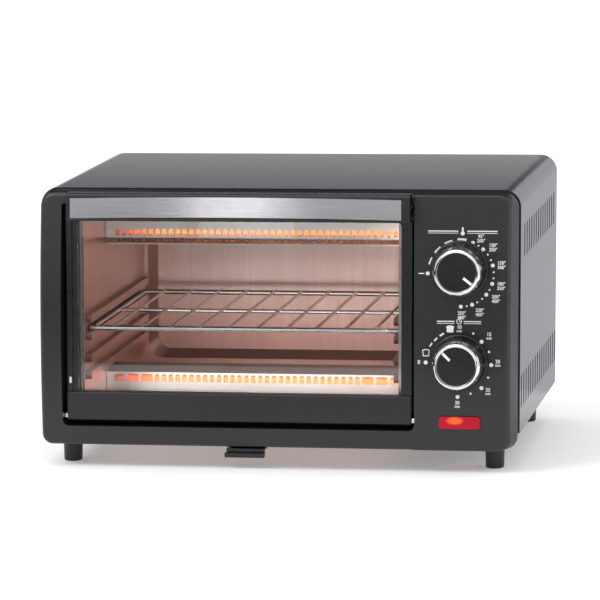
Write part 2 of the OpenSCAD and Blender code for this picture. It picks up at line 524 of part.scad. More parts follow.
module door_frame() place() color([0.13, 0.13, 0.14]) difference() {
  union() {
    slab(-12, -7.6) polygon(rect4(door_x0, door_z0, door_x1, door_z1, 2, 2, 2, 2, 6));
    slab(-7.7, -2) difference() {
      polygon(rect4(door_x0, door_z0, door_x1, door_z1, 2, 2, 2, 2, 6));
      polygon(rrect(door_x0 + 2.6, door_z0 + 9.2, door_x1 - 2.6, door_z1 - 2.6, 2));
    }
    // raised outer rib of the side members
    for (s = [0, 1]) slab(-13.2, -11.9) polygon(rrect(s ? door_x1 - 4 : door_x0, win_z0 + 0.1, s ? door_x1 : door_x0 + 4, win_z1 + 2, 0.5));
  }
  slab(-20, 0) polygon(rect4(win_x0, win_z0, win_x1, win_z1, 3.5, 3.5, 1, 1, 6));
  for (s = [0, 1]) rod_x(hinge_y, hinge_z, s ? door_x1 - 7 : door_x0 - 1, s ? door_x1 + 1 : door_x0 + 7, 2, 48);
  for (x = [door_xc - 105, door_xc + 105]) rod_y(x, 176.5, -20, 0, 1.8, 24);
  // lightening recess behind the kick panel
  box([door_x0 + 12, -13, door_z0 + 4], [door_x1 - 12, -9.5, win_z0 - 4]);
}

module door_glass() place() color([0.75, 0.8, 0.8, 0.3])
  slab(-7.5, -7.5 + glass_t) polygon(rrect(door_x0 + 3.2, door_z0 + 9.8, door_x1 - 3.2, win_z1 + 2.5, 2));

// Side strips that hold the glass from behind: each has a turned edge and two rivets
module glass_clips() place() color([0.78, 0.78, 0.78]) for (s = [0, 1]) union() {
  box([s ? door_x1 - 8.4 : door_x0 + 4.6, -7.45 + glass_t, door_z0 + 12], [s ? door_x1 - 4.6 : door_x0 + 8.4, -6.85 + glass_t, win_z1 + 2]);
  box([s ? door_x1 - 9 : door_x0 + 8.3, -7.45 + glass_t, door_z0 + 12], [s ? door_x1 - 8.3 : door_x0 + 9, -5.2 + glass_t, win_z1 + 2]);
  for (z = [79.6, 142.9]) rod_y(s ? door_x1 - 6.6 : door_x0 + 6.6, z, -7.3 + glass_t, -5.9 + glass_t, 1.6, 24);
}

// White pad low on the door's left side member
module door_buffer() place() color([0.92, 0.92, 0.92])
  slab(-13.6, -13.18) polygon(rrect(door_x0 + 1.5, 47, door_x0 + 3.2, 52, 0.8));

// Plain painted panel across the bottom of the door
module door_kick_panel() place() color([0.2, 0.2, 0.21])
  bar(door_x0 + 0.3, door_x1 - 0.3) polygon(concat([[-12.05, door_z0 + 0.2], [-12.05, win_z0]],
    arc(-13.8, win_z0 - 1.4, 1.4, 90, 180, 5), arc(-13.8, door_z0 + 1.6, 1.4, 180, 270, 5)));

// Bar handle, open below for the fingers
module door_handle() place() color([0.09, 0.09, 0.1]) difference() {
  bar(door_x0 + 4.3, door_x1 + 0.9) polygon(concat([[-12.05, hz0()], [-12.05, door_z1 - 1], [-17.4, door_z1 - 1], [-17.4, hz1() - 0.6], [-18, hz1()]],
    arc(-handle_out + 2.4, hz1() - 2.4, 2.4, 90, 180, 6), arc(-handle_out + 1.6, hz0() + 1.6, 1.6, 180, 270, 5)));
  box([door_x0 + 10, -handle_out + 3, hz0() - 5], [door_x1 - 7, -17.4, hz1() - 5]);
  for (x = [door_xc - 105, door_xc + 105]) rod_y(x, 176.5, -18, -5, 1.8, 24);
  slab(-handle_out - 1, -handle_out + 0.7) polygon(trim_shape(0.25));
}
function hz1() = body_h - 0.6;
function hz0() = hz1() - handle_h;
// Outline of the steel trim, arched up in its middle; g widens it for its seat
function trim_shape(g) = let (x0 = door_x0 + 7.3 - g, x1 = door_x1 - 5.4 + g, n = 24) concat(
  [for (i = [0:n]) let (x = x0 + (x1 - x0) * i / n) [x, 190.1 + trim_arch * (1 - pow((x - door_xc) / (x1 - door_xc), 2)) + g]],
  [for (i = [n:-1:0]) let (x = x0 + (x1 - x0) * i / n) [x, 175 + trim_arch * (1 - pow((x - door_xc) / (x1 - door_xc), 2)) - g]]);

module handle_trim() place() color([0.62, 0.62, 0.63])
  slab(-handle_out - 0.1, -handle_out + 0.65) polygon(trim_shape(0));

module handle_screws() place() color([0.7, 0.7, 0.72]) for (x = [door_xc - 105, door_xc + 105]) {
  rod_y(x, 176.5, -17, -1.9, 1.7, 24);
  rod_y(x, 176.5, -2, -0.6, 3.2, 28);
}

// Hinge pins, each with a white collar in the gap beside the door
module hinge_pins() place() color([0.85, 0.85, 0.86]) for (s = [0, 1]) union() {
  rod_x(hinge_y, hinge_z, s ? door_x1 - 7 : open_x0 - 13, s ? open_x1 + 13 : door_x0 + 7, 2, 48);
  rod_x(hinge_y, hinge_z, s ? door_x1 + 0.2 : open_x0 + 0.2, s ? open_x1 - 0.2 : door_x0 - 0.2, 3, 48);
}

// ---- rack and crumb tray ------------------------------------------------------------

// Chromed wire rack on the upper pair of guides
module wire_rack() place() color([0.85, 0.85, 0.86]) {
  x0 = cav_x0 + 3; x1 = cav_x1 - 3; y0 = 14; y1 = cav_y - 12;
  union() {
    for (x = [x0, x1]) rod_y(x, rack_z - 1.3, y0, y1, 1.9, 24);
    for (y = [y0 + 1.2, y1 - 1.2]) rod_x(y, rack_z - 1.35, x0 - 0.8, x1 + 0.8, 2, 24);
    rod_x((y0 + y1) / 2, rack_z - 1.9, x0 + 0.3, x1 - 0.3, 1.5, 20);
    for (i = [0:rack_wires - 1]) rod_y(cav_xc + (i - (rack_wires - 1) / 2) * rack_pitch, rack_z, y0 - 0.4, y1 + 0.4, 1.25, 18);
  }
}

// Shallow pan that closes the bottom; its rear edge curls round the hinge rod
module crumb_tray() place() color([0.6, 0.58, 0.58]) difference() {
  union() {
    box([cav_x0 + 5, 8, 3.2], [cav_x1 - 5, tray_y - 4, 4]);
    difference() {
      box([cav_x0 + 5, 8, 3.2], [cav_x1 - 5, tray_y - 4, side_z - 1.3]);
      box([cav_x0 + 5.8, 8.8, 3], [cav_x1 - 5.8, tray_y - 4.8, 20]);
    }
    for (x = [cav_x0 + 30, cav_xc - 10, cav_x1 - 50]) {
      rod_x(tray_y, tray_z, x, x + 20, 3, 36);
      box([x, tray_y - 4.6, tray_z - 0.4], [x + 20, tray_y - 2.3, tray_z + 0.6]);
    }
  }
  for (x = [cav_x0 + 30, cav_xc - 10, cav_x1 - 50]) rod_x(tray_y, tray_z, x - 1, x + 21, 1.86, 36);
}

// Finger tab at the front of the tray, reaching under the frame
module crumb_tray_tab() place() color([0.12, 0.12, 0.13]) {
  x0 = door_xc - 9.9; x1 = door_xc + 19.3;
  union() {
    bar(x0, x1) polygon([[7.95, 3.2], [7.95, 8.2], [6.6, 8.2], [6.6, 0.4], [2.6, -1.8], [-10.2, -1.8], [-10.2, -4.2], [-9.4, -4.2],
      [-9.4, -4.7], [-13, -4.7], [-13.6, -5.4], [-13, -8.2], [-7.6, -8.2], [-7.6, -3], [3.2, -3], [7.95, -0.4]]);
    bar(x0 - 0.8, x0 + 0.3) polygon([[-9, -4.8], [-13, -4.8], [-13.6, -5.4], [-13, -8.2], [-9, -8.2]]);
  }
}

// ---- knobs ------------------------------------------------------------------------------

// Ribbed skirt, drawn about its own axis with its base at 0 and its face near knob_h
module knob_body() difference() {
  rib_z0 = 2.6; rib_z1 = knob_h - 7.2; rib_r0 = knob_d / 2 - 1.6; rib_r1 = 19.1;
  union() {
    rotate_extrude($fn = 90) polygon([[0, 1], [0, knob_h - 1.6], [14.2, knob_h - 1.6], [14.2, knob_h - 3], [17.9, knob_h - 6.4], [18.9, knob_h - 6.9],
      [rib_r0 - 0.1, 3], [knob_d / 2 - 1, 1.9], [knob_d / 2 - 0.3, 1.5], [knob_d / 2, 0.8], [knob_d / 2 - 0.3, 0], [knob_d / 2 - 4, 0], [knob_d / 2 - 4.6, 1]]);
    for (i = [0:knob_ribs - 1]) rotate([0, 0, 360 * i / knob_ribs]) translate([rib_r0, 0, rib_z0])
      rotate([0, -atan((rib_r0 - rib_r1) / (rib_z1 - rib_z0)), 0]) cylinder(h = norm([rib_z1 - rib_z0, rib_r0 - rib_r1]), r = 0.5, $fn = 16);
  }
  translate([0, 0, -1]) cylinder(h = knob_h - 5, r = shaft_d / 2, $fn = 48);
}

// Bright ring: a sloped outer face, a flat lip and a bevel down to the dark disc
module knob_ring() rotate_extrude($fn = 96) polygon([[18.2, knob_h - 6.3], [18.35, knob_h - 5.4], [17.6, knob_h - 2.6], [16.9, knob_h - 0.9], [16.2, knob_h - 0.2], [15.6, knob_h],
  [15.0, knob_h - 0.1], [14.3, knob_h - 1.1], [14.3, knob_h - 2.9], [17.95, knob_h - 6.3]]);

module knob_pointer() translate([6.6, -0.95, knob_h - 1.58]) cube([7.5, 1.9, 0.7]);

module at_knob(z, a) translate([knob_x, face_y(z) - 0.4, z]) rotate([90, 0, 0]) rotate([0, 0, a]) children();
temp_a = -38;
timer_a = 135;

module temperature_knob() place() color([0.1, 0.1, 0.11]) at_knob(temp_z, temp_a) knob_body();
module temperature_knob_ring() place() color([0.85, 0.85, 0.86]) at_knob(temp_z, temp_a) knob_ring();
module temperature_pointer() place() color([0.95, 0.95, 0.95]) at_knob(temp_z, temp_a) knob_pointer();
module timer_knob() place() color([0.1, 0.1, 0.11]) at_knob(timer_z, timer_a) knob_body();
module timer_knob_ring() place() color([0.85, 0.85, 0.86]) at_knob(timer_z, timer_a) knob_ring();
module timer_pointer() place() color([0.95, 0.95, 0.95]) at_knob(timer_z, timer_a) knob_pointer();
module knob_shaft(z) rod_y(knob_x, z, face_y(z) - 0.4 - (knob_h - 6.1), 8, shaft_d / 2, 48);
module temperature_shaft() place() color([0.8, 0.8, 0.8]) knob_shaft(temp_z);
module timer_shaft() place() color([0.8, 0.8, 0.8]) knob_shaft(timer_z);

outer_housing();
front_bezel();
rear_panel();
base_panel();
front_face_frame();
cavity_left_wall();
cavity_right_wall();
cavity_roof();
cavity_back();
rack_guides();
upper_heater_guard();
lower_heater_guard();
upper_heater_tube();
lower_heater_tube();
heater_coils();
heater_end_caps();
heater_terminals();
control_bracket();
thermostat();
thermostat_bushing();
timer();
timer_bushing();
timer_bell();
indicator_lens();
indicator_lamp();
terminal_block();
internal_wires();
cord_gland();
feet();
foot_screws();
rear_screws();
control_nuts();
hinge_bracket_left();
hinge_bracket_right();
tray_hinge_rod();
door_springs();
door_frame();
door_glass();
glass_clips();
door_kick_panel();
door_buffer();
door_handle();
handle_trim();
hinge_pins();
handle_screws();
wire_rack();
crumb_tray();
crumb_tray_tab();
temperature_knob();
temperature_knob_ring();
temperature_pointer();
temperature_shaft();
timer_knob();
timer_knob_ring();
timer_pointer();
timer_shaft();
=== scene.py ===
import bpy, bmesh, math
from mathutils import Vector, Matrix


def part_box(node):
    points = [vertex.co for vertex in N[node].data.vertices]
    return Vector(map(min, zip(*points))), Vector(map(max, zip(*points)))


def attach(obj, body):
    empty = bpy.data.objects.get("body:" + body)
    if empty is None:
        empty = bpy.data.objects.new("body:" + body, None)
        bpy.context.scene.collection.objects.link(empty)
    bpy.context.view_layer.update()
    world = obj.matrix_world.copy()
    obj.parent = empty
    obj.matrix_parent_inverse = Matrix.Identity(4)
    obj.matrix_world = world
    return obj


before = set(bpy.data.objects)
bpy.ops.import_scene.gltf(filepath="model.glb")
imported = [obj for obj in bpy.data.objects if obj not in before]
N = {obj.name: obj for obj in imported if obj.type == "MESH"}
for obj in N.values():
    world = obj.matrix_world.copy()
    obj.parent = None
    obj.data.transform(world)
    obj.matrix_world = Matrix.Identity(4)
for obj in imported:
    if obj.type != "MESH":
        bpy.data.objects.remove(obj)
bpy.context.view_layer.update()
SC = bpy.context.scene
COL = SC.collection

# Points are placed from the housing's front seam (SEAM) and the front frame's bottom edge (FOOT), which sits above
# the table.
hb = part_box("outer_housing")
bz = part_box("front_bezel")
SEAM = hb[0][1] - 0.0009            # y of the housing's front seam
FOOT = bz[0][2]                     # z of the front frame's bottom edge
HW = bz[1][0]                       # half width of the body


def P(x, y, z):
    """A point given in millimetres from the seam and the frame's bottom edge."""
    return Vector((x / 1000, y / 1000 + SEAM, z / 1000 + FOOT))


# ------------------------------------------------------------------ camera
SKEW = -0.0157


def camera():
    a, e, roll, dist = math.radians(10.363), math.radians(8.675), math.radians(-0.962), 3.0
    back = Vector((math.sin(a) * math.cos(e), -math.cos(a) * math.cos(e), math.sin(e)))
    right = Vector((math.cos(a), math.sin(a), 0))
    up = back.cross(right)
    r1 = right * math.cos(roll) + up * math.sin(roll)
    u1 = -right * math.sin(roll) + up * math.cos(roll)
    cam = bpy.data.cameras.new("camera")
    cam.lens, cam.sensor_width, cam.clip_start, cam.clip_end = 240.12, 36.0, 0.05, 50.0
    o = bpy.data.objects.new("camera", cam)
    m = Matrix((r1, u1, back)).transposed().to_4x4()
    m.translation = P(16.21, 0, 110.14) + back * dist
    # the picture's uprights lean a little against its level lines, so the frame is skewed to suit
    skew = Matrix.Identity(4)
    skew[0][1] = SKEW
    COL.objects.link(o)
    rig = bpy.data.objects.new("camera_rig", None)
    COL.objects.link(rig)
    o.parent = rig
    o.matrix_parent_inverse = m @ skew
    SC.camera = o
    return o


camera()


# --------------------------------------------------------------- materials
class Tree:
    """A short way to build a node tree round one Principled shader."""

    def __init__(self, name):
        self.m = bpy.data.materials.new(name)
        self.m.use_nodes = True
        self.t = self.m.node_tree
        self.t.nodes.clear()
        self.out = self.t.nodes.new("ShaderNodeOutputMaterial")
        self.b = self.t.nodes.new("ShaderNodeBsdfPrincipled")
        self.t.links.new(self.b.outputs[0], self.out.inputs["Surface"])
        self.co = self.t.nodes.new("ShaderNodeTexCoord").outputs["Object"]

    def n(self, kind, **kw):
        o = self.t.nodes.new("ShaderNode" + kind)
        for k, v in kw.items():
            if k.startswith("i_"):
                o.inputs[k[2:].replace("_", " ")].default_value = v
            else:
                setattr(o, k, v)
        return o

    def l(self, a, b):
        self.t.links.new(a, b)

    def set(self, **kw):
        for k, v in kw.items():
            self.b.inputs[k.replace("_", " ")].default_value = v

    def map(self, scale=(1, 1, 1), rot=(0, 0, 0), loc=(0, 0, 0)):
        o = self.n("Mapping")
        o.inputs["Scale"].default_value = scale
        o.inputs["Rotation"].default_value = rot
        o.inputs["Location"].default_value = loc
        self.l(self.co, o.inputs["Vector"])
        return o.outputs[0]

    def noise(self, scale, detail=3, rough=0.5, vec=None, dist=0.0):
        o = self.n("TexNoise")
        o.inputs["Scale"].default_value = scale
        o.inputs["Detail"].default_value = detail
        o.inputs["Roughness"].default_value = rough
        o.inputs["Distortion"].default_value = dist
        self.l(vec or self.co, o.inputs["Vector"])
        return o.outputs["Fac"]

    def ramp(self, fac, stops):
        o = self.n("ValToRGB")
        e = o.color_ramp.elements
        while len(e) < len(stops):
            e.new(0.5)
        for s, (p, c) in zip(e, stops):
            s.position = p
            s.color = c if len(c) == 4 else (*c, 1)
        self.l(fac, o.inputs["Fac"])
        return o.outputs["Color"]

    def rng(self, fac, a, b, lo=0.0, hi=1.0):
        o = self.n("MapRange")
        for k, v in (("From Min", a), ("From Max", b), ("To Min", lo), ("To Max", hi)):
            o.inputs[k].default_value = v
        self.l(fac, o.inputs["Value"])
        return o.outputs["Result"]

    def mix(self, fac, a, b, mode="MIX"):
        o = self.n("Mix", data_type="RGBA", blend_type=mode)
        for k, v in ((6, a), (7, b)):
            if isinstance(v, tuple):
                o.inputs[k].default_value = v if len(v) == 4 else (*v, 1)
            else:
                self.l(v, o.inputs[k])
        if isinstance(fac, (int, float)):
            o.inputs[0].default_value = fac
        else:
            self.l(fac, o.inputs[0])
        return o.outputs[2]

    def math(self, op, a, b=None):
        o = self.n("Math", operation=op)
        for k, v in ((0, a), (1, b)):
            if v is None:
                continue
            if isinstance(v, (int, float)):
                o.inputs[k].default_value = v
            else:
                self.l(v, o.inputs[k])
        return o.outputs[0]

    def bump(self, height, strength=0.3, dist=0.0002, normal=None):
        o = self.n("Bump")
        o.inputs["Strength"].default_value = strength
        o.inputs["Distance"].default_value = dist
        self.l(height, o.inputs["Height"])
        if normal is not None:
            self.l(normal, o.inputs["Normal"])
        return o.outputs["Normal"]


def rgb(v, k=1.0):
    return (v[0] * k, v[1] * k, v[2] * k, 1)


def coated(name, base, rough=0.42, metallic=0.0, grain=1400, grain_bump=0.12, var=0.12, spec=0.5, coat=0.0, dist=0.00012, wave=0.0, gloss=0.045):
    """Paint or moulded plastic: fine grain in the surface, slow variation in colour and gloss."""
    t = Tree(name)
    slow = t.noise(14, 3, 0.55)
    fine = t.noise(grain, 2, 0.6)
    mid = t.noise(170, 4, 0.6)
    f = t.math("ADD", t.math("MULTIPLY", slow, 0.55), t.math("MULTIPLY", mid, 0.45))
    t.l(t.mix(t.rng(f, 0.3, 0.7), rgb(base, 1 - var), rgb(base, 1 + var)), t.b.inputs["Base Color"])
    t.l(t.rng(mid, 0.25, 0.75, rough - gloss, rough + gloss), t.b.inputs["Roughness"])
    n = t.bump(fine, grain_bump, dist)
    if wave:
        n = t.bump(t.noise(7, 1, 0.3), wave, 0.0015, n)
    t.l(n, t.b.inputs["Normal"])
    t.set(Metallic=metallic, Specular_IOR_Level=spec, Coat_Weight=coat, Coat_Roughness=0.25)
    return t.m


def metal(name, base, rough=0.3, axis=0, streak=0.35, line=900, var=0.18, warm=None, smudge=0.08, dist=0.00006, aniso=0.0, metallic=1.0):
    """Sheet or turned metal with fine lines drawn along one axis, faint stains and uneven gloss."""
    t = Tree(name)
    sc = [line, line, line]
    if axis is not None:
        sc[axis] = line * 0.012
    v = t.map(tuple(sc))
    lines = t.noise(1.0, 3, 0.6, v)
    slow = t.noise(11, 3, 0.6)
    blot = t.noise(60, 4, 0.65)
    f = t.math("ADD", t.math("MULTIPLY", lines, 0.6), t.math("MULTIPLY", slow, 0.4))
    c = t.mix(t.rng(f, 0.3, 0.7), rgb(base, 1 - var), rgb(base, 1 + var * 0.6))
    if warm:
        c = t.mix(t.rng(t.noise(9, 4, 0.6), 0.42, 0.72, 0, 0.7), c, rgb(warm))
    t.l(c, t.b.inputs["Base Color"])
    r = t.math("ADD", t.rng(lines, 0.25, 0.75, rough - 0.06, rough + 0.06), t.rng(blot, 0.4, 0.75, 0, smudge))
    t.l(r, t.b.inputs["Roughness"])
    t.l(t.bump(lines, streak, dist), t.b.inputs["Normal"])
    t.set(Metallic=metallic, Anisotropic=aniso)
    return t.m


def pane(name, tint, rough=0.02, share=0.06, edge=0.9):
    """Thin clear glass: mostly see-through, with a mirror-like sheen that grows at a glance."""
    t = Tree(name)
    t.set(Base_Color=(*tint, 1), Roughness=rough, Specular_IOR_Level=0.5, Metallic=0.0)
    fr = t.n("Fresnel")
    fr.inputs["IOR"].default_value = 1.46
    tr = t.n("BsdfTransparent")
    tr.inputs["Color"].default_value = (*tint, 1)
    gl = t.n("BsdfGlossy")
    gl.inputs["Roughness"].default_value = rough
    gl.inputs["Color"].default_value = (1, 1, 1, 1)
    ms = t.n("MixShader")
    t.l(t.math("ADD", fr.outputs[0], t.rng(t.noise(35, 4, 0.6), 0.45, 0.8, 0.0, share)), ms.inputs[0])
    t.l(tr.outputs[0], ms.inputs[1])
    t.l(gl.outputs[0], ms.inputs[2])
    t.l(ms.outputs[0], t.out.inputs["Surface"])
    t.t.nodes.remove(t.b)
    return t.m


def plain(name, base, rough=0.5, bump=0.1, scale=900, var=0.08, spec=0.5, metallic=0.0):
    return coated(name, base, rough, metallic, scale, bump, var, spec)


M = {}
M["housing"] = coated("housing_paint", (0.011, 0.011, 0.021), 0.20, 0.0, 2600, 0.025, 0.08, 0.5, 0.0, 0.0001, gloss=0.008)
M["frame"] = coated("frame_plastic", (0.0105, 0.0105, 0.0130), 0.36, 0.0, 1500, 0.12, 0.10, 0.5, 0.0, 0.00012)
M["kick"] = coated("kick_plastic", (0.0085, 0.0088, 0.0112), 0.38, 0.0, 1500, 0.12, 0.10, 0.5)
M["black_sheet"] = coated("black_sheet", (0.020, 0.020, 0.022), 0.45, 0.0, 900, 0.15, 0.2, 0.5)
M["wall"] = metal("aluminised_steel", (0.70, 0.53, 0.48), 0.38, 2, 0.25, 700, 0.16, (0.62, 0.36, 0.26))
M["guard"] = metal("guard_steel", (0.70, 0.66, 0.64), 0.36, 0, 0.25, 800, 0.16, (0.55, 0.40, 0.33))
M["zinc"] = metal("zinc_plate", (0.62, 0.64, 0.67), 0.3, None, 0.2, 500, 0.2)
M["trim"] = metal("trim_steel", (0.40, 0.40, 0.415), 0.13, 0, 0.5, 2600, 0.22, None, 0.04, 0.00005)
M["chrome"] = metal("chrome", (0.80, 0.81, 0.83), 0.10, None, 0.05, 300, 0.05, None, 0.06)
M["rack_wire"] = metal("rack_wire", (0.72, 0.72, 0.73), 0.16, None, 0.1, 400, 0.12, (0.5, 0.42, 0.36), 0.1)
M["knob"] = coated("knob_plastic", (0.005, 0.005, 0.0065), 0.30, 0.0, 1500, 0.10, 0.12, 0.5)
M["disc"] = coated("knob_disc", (0.022, 0.022, 0.028), 0.30, 0.0, 1500, 0.05, 0.12, 0.5)
M["handle"] = coated("handle_plastic", (0.006, 0.006, 0.008), 0.26, 0.0, 1300, 0.12, 0.12, 0.5)
M["door"] = coated("door_frame_plastic", (0.0065, 0.007, 0.0088), 0.30, 0.0, 1300, 0.14, 0.12, 0.5)
M["rubber"] = coated("rubber", (0.016, 0.016, 0.017), 0.62, 0.0, 700, 0.3, 0.2, 0.4)
M["foot"] = coated("foot_plastic", (0.008, 0.008, 0.010), 0.42, 0.0, 900, 0.2, 0.15, 0.45)
M["brass"] = metal("brass", (0.62, 0.45, 0.18), 0.28, 1, 0.3, 1500, 0.15)
M["cream"] = plain("phenolic", (0.55, 0.48, 0.36), 0.45, 0.15, 600, 0.1)
M["ceramic"] = plain("ceramic", (0.62, 0.58, 0.50), 0.6, 0.25, 900, 0.08)
M["white"] = plain("white_insert", (0.80, 0.80, 0.80), 0.4, 0.05, 1200, 0.03)
M["ink"] = plain("white_ink", (0.78, 0.78, 0.79), 0.5, 0.08, 2500, 0.05)
M["sleeve"] = plain("glass_sleeve", (0.62, 0.57, 0.46), 0.8, 0.5, 1500, 0.12)
M["screw"] = metal("black_screw", (0.06, 0.06, 0.065), 0.35, None, 0.2, 500, 0.2)
M["door_glass"] = pane("door_glass", (0.96, 0.97, 0.97), 0.015, 0.008)


def emitting(name, base, colour, power, rough=0.4):
    t = Tree(name)
    f = t.noise(160, 3, 0.6)
    t.l(t.mix(t.rng(f, 0.3, 0.7), rgb(base, 0.85), rgb(base, 1.1)), t.b.inputs["Base Color"])
    t.l(t.mix(t.rng(f, 0.3, 0.7), rgb(colour, 0.8), rgb(colour, 1.1)), t.b.inputs["Emission Color"])
    t.set(Roughness=rough, Emission_Strength=power)
    return t.m


def coil():
    """Glowing wire: dull red at its left end, orange along the rest, uneven from turn to turn."""
    t = Tree("glowing_wire")
    sep = t.n("SeparateXYZ")
    t.l(t.co, sep.inputs[0])
    ends = t.rng(sep.outputs[0], P(-148, 0, 0).x, P(-112, 0, 0).x, 0.04, 1.0)
    turns = t.rng(t.noise(420, 2, 0.6), 0.3, 0.7, 0.55, 1.15)
    t.l(t.mix(ends, (0.25, 0.03, 0.01, 1), (0.5, 0.16, 0.04, 1)), t.b.inputs["Base Color"])
    t.l(t.mix(ends, (1.0, 0.05, 0.01, 1), (1.0, 0.27, 0.045, 1)), t.b.inputs["Emission Color"])
    t.l(t.math("MULTIPLY", t.math("MULTIPLY", ends, turns), 6.0), t.b.inputs["Emission Strength"])
    t.set(Roughness=0.5)
    return t.m


def face_frame():
    """Steel round the mouth of the oven, painted near black beyond the window's outline as the shade behind the
    door.
    """
    t = Tree("mouth_sheet")
    sep = t.n("SeparateXYZ")
    t.l(t.co, sep.inputs[0])
    inx = t.math("MULTIPLY", t.rng(sep.outputs[0], P(-155.5, 0, 0).x, P(-154.5, 0, 0).x), t.rng(sep.outputs[0], P(99, 0, 0).x, P(98, 0, 0).x))
    inz = t.math("MULTIPLY", t.rng(sep.outputs[2], P(0, 0, 26).z, P(0, 0, 27).z), t.rng(sep.outputs[2], P(0, 0, 178).z, P(0, 0, 177).z))
    # m is 1 inside the window's outline, where the steel shows, and 0 beyond it, where painted shade goes
    m = t.math("MULTIPLY", inx, inz)
    grain = t.rng(t.noise(160, 3, 0.6), 0.3, 0.7)
    steel = t.mix(grain, (0.46, 0.33, 0.30, 1), (0.62, 0.47, 0.43, 1))
    # beyond the window the colour is painted shade, near black and not metallic
    t.l(t.mix(m, (0.004, 0.004, 0.005, 1), steel), t.b.inputs["Base Color"])
    t.l(t.rng(m, 0, 1, 0.0, 0.95), t.b.inputs["Metallic"])
    t.l(t.bump(grain, 0.1, 0.00008), t.b.inputs["Normal"])
    t.set(Roughness=0.36, Specular_IOR_Level=0.25)
    return t.m


def pressed():
    """Sheet that stays bright on its flats; the sloping faces of its pressing are painted brown and dark as shade.
    """
    t = Tree("pressed_sheet")
    g = t.n("NewGeometry")
    sep = t.n("SeparateXYZ")
    t.l(g.outputs["True Normal"], sep.inputs[0])
    # painted shade: faces that turn away from the front, the sides of the pressing, are picked out by their normals
    slope_shade = t.rng(t.math("ABSOLUTE", sep.outputs[1]), 0.93, 0.99, 1.0, 0.0)
    lines = t.noise(1.0, 3, 0.6, t.map((700, 700, 9)))
    slow = t.noise(10, 4, 0.6)
    flat = t.mix(t.rng(slow, 0.35, 0.68), (0.62, 0.45, 0.41, 1), (0.74, 0.58, 0.55, 1))
    flat = t.mix(t.rng(lines, 0.3, 0.7, 0.0, 0.35), flat, (0.52, 0.36, 0.32, 1))
    # the sloping faces take a painted shade colour, dark brown, in place of the sheet's own
    t.l(t.mix(slope_shade, flat, (0.50, 0.36, 0.33, 1)), t.b.inputs["Base Color"])
    t.l(t.rng(lines, 0.25, 0.75, 0.34, 0.46), t.b.inputs["Roughness"])
    t.l(t.bump(lines, 0.25, 0.00006), t.b.inputs["Normal"])
    t.set(Metallic=0.9)
    return t.m


M["coil"] = coil()
M["face_frame"] = face_frame()
M["pressed"] = pressed()
M["neon"] = emitting("neon_lamp", (0.9, 0.4, 0.2), (1.0, 0.30, 0.06), 9.0)


def quartz():
    t = Tree("quartz")
    f = t.noise(90, 4, 0.6)
    tr = t.n("BsdfTransparent")
    tr.inputs["Color"].default_value = (1.0, 0.86, 0.74, 1)
    t.l(t.mix(t.rng(f, 0.3, 0.7), (0.80, 0.62, 0.50, 1), (0.92, 0.80, 0.70, 1)), t.b.inputs["Base Color"])
    t.set(Roughness=0.35)
    ms = t.n("MixShader")
    ms.inputs[0].default_value = 0.35
    t.l(tr.outputs[0], ms.inputs[1])
    t.l(t.b.outputs[0], ms.inputs[2])
    t.l(ms.outputs[0], t.out.inputs["Surface"])
    return t.m


M["quartz"] = quartz()


def lens():
    """Red moulded lens: clear coat over a ribbed, lit body with a hot spot before the lamp."""
    t = Tree("red_lens")
    sep = t.n("SeparateXYZ")
    t.l(t.co, sep.inputs[0])
    c = P(136.5, 0, 23.6)
    dx = t.math("MULTIPLY", t.math("SUBTRACT", sep.outputs[0], c.x), 1 / 0.0062)
    dz = t.math("MULTIPLY", t.math("SUBTRACT", sep.outputs[2], c.z), 1 / 0.0030)
    d = t.math("SQRT", t.math("ADD", t.math("MULTIPLY", dx, dx), t.math("MULTIPLY", dz, dz)))
    hot = t.rng(d, 0.55, 1.15, 1.0, 0.0)
    t.l(t.mix(hot, (0.42, 0.001, 0.018, 1), (0.8, 0.10, 0.01, 1)), t.b.inputs["Base Color"])
    t.l(t.mix(hot, (0.60, 0.001, 0.022, 1), (1.0, 0.10, 0.006, 1)), t.b.inputs["Emission Color"])
    t.l(t.rng(hot, 0, 1, 0.05, 0.55), t.b.inputs["Emission Strength"])
    w = t.n("TexWave", wave_type="BANDS", bands_direction="X")
    w.inputs["Scale"].default_value = 160
    t.l(t.co, w.inputs["Vector"])
    t.l(t.bump(w.outputs["Fac"], 0.08, 0.0002), t.b.inputs["Normal"])
    t.set(Specular_IOR_Level=0.15, Roughness=0.12, Coat_Weight=0.12, Coat_Roughness=0.04)
    return t.m


M["lens"] = lens()

USE = {
    "housing": ["outer_housing"], "frame": ["front_bezel"], "kick": ["door_kick_panel"],
    "black_sheet": ["rear_panel", "base_panel"],
    "wall": ["cavity_left_wall", "cavity_right_wall", "cavity_roof", "rack_guides", "crumb_tray"],
    "face_frame": ["front_face_frame"], "pressed": ["cavity_back"],
    "guard": ["upper_heater_guard", "lower_heater_guard"],
    "quartz": ["upper_heater_tube", "lower_heater_tube"], "coil": ["heater_coils"],
    "ceramic": ["heater_end_caps", "terminal_block"],
    "zinc": ["heater_terminals", "control_bracket", "timer", "timer_bell", "control_nuts", "foot_screws", "hinge_bracket_left",
             "hinge_bracket_right", "tray_hinge_rod", "door_springs", "glass_clips", "handle_screws", "temperature_shaft", "timer_shaft"],
    "chrome": ["hinge_pins", "temperature_knob_ring", "timer_knob_ring"],
    "rack_wire": ["wire_rack"], "cream": ["thermostat"], "brass": ["thermostat_bushing", "timer_bushing"],
    "lens": ["indicator_lens"], "neon": ["indicator_lamp"], "sleeve": ["internal_wires"], "rubber": ["cord_gland"],
    "foot": ["feet"], "screw": ["rear_screws"], "door": ["door_frame", "crumb_tray_tab"], "knob": ["temperature_knob", "timer_knob"],
    "door_glass": ["door_glass"], "handle": ["door_handle"], "trim": ["handle_trim"], "white": ["temperature_pointer", "timer_pointer", "door_buffer"],
}
for k, names in USE.items():
    for n in names:
        if n not in N:
            continue
        o = N[n]
        o.data.materials.clear()
        o.data.materials.append(M[k])


